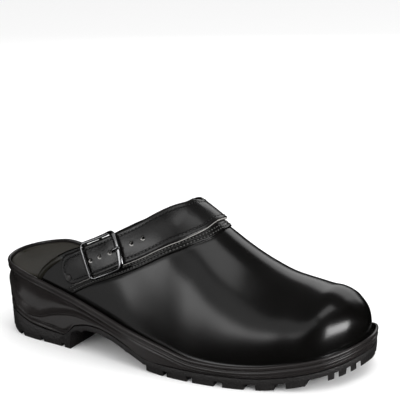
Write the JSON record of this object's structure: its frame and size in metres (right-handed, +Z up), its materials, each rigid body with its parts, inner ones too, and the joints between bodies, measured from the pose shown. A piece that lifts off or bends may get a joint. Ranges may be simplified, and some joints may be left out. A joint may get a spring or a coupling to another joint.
{
  "type": "chef clog",
  "caption": "Right-foot chef clog with a closed toe, an open back, a buckled strap over the instep and a moulded lugged sole with a heel.",
  "frame": {"origin": "on the floor, in the middle of the sole's length and of its ball width", "axes": "+X towards the toe, +Y towards the medial side, +Z up"},
  "size_m": [0.282, 0.106, 0.1076],
  "materials": {
    "sole": "satin moulded",
    "footbed": "matte",
    "leather": "polished",
    "metal": "polished dark"
  },
  "bodies": {
    "root": {"outsole": "sole", "midsole": "sole", "insole": "footbed", "upper": "leather", "strap": "leather", "buckle_tab": "leather", "buckle_frame": "metal", "buckle_prong": "metal", "rivet_lateral": "metal", "rivet_medial": "metal"}
  },
  "joints": []
}
